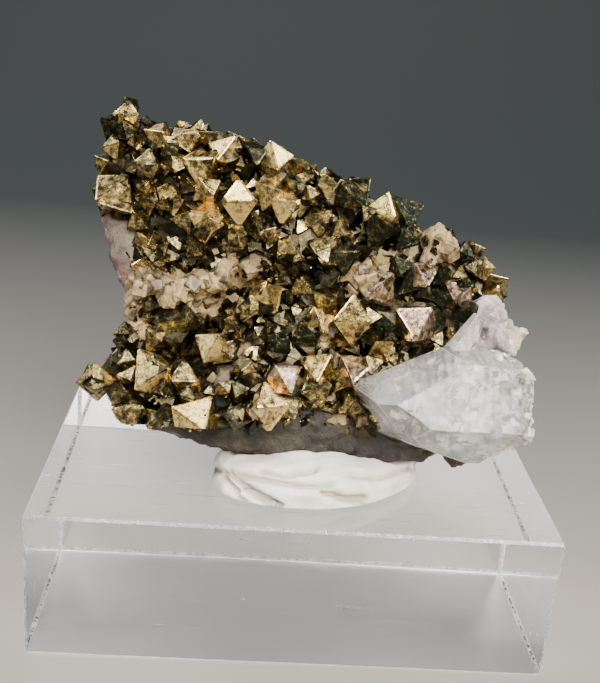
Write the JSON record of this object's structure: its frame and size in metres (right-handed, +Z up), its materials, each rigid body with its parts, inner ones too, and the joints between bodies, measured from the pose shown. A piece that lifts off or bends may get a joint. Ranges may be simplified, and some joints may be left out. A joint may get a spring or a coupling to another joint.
{
  "type": "mounted pyrite crystal specimen",
  "caption": "Druse of octahedral pyrite crystals on pale matrix rock with a clear quartz point, held by white mounting putty on a clear acrylic display block.",
  "frame": {"origin": "centre of the underside of the display block", "axes": "+Z up, -Z out of the block's underside; +X along the block's length to the viewer's right; the crystal face looks towards -Y and up"},
  "size_m": [0.05, 0.03, 0.0493],
  "materials": {
    "acrylic": "polished",
    "matrix": "matte",
    "quartz": "gloss",
    "putty": "matte",
    "pyrite": "satin"
  },
  "bodies": {
    "root": {"acrylic_block": "acrylic", "matrix": "matrix", "quartz_crystals": "quartz", "mounting_putty": "putty", "pyrite_crust": "pyrite"}
  },
  "joints": []
}
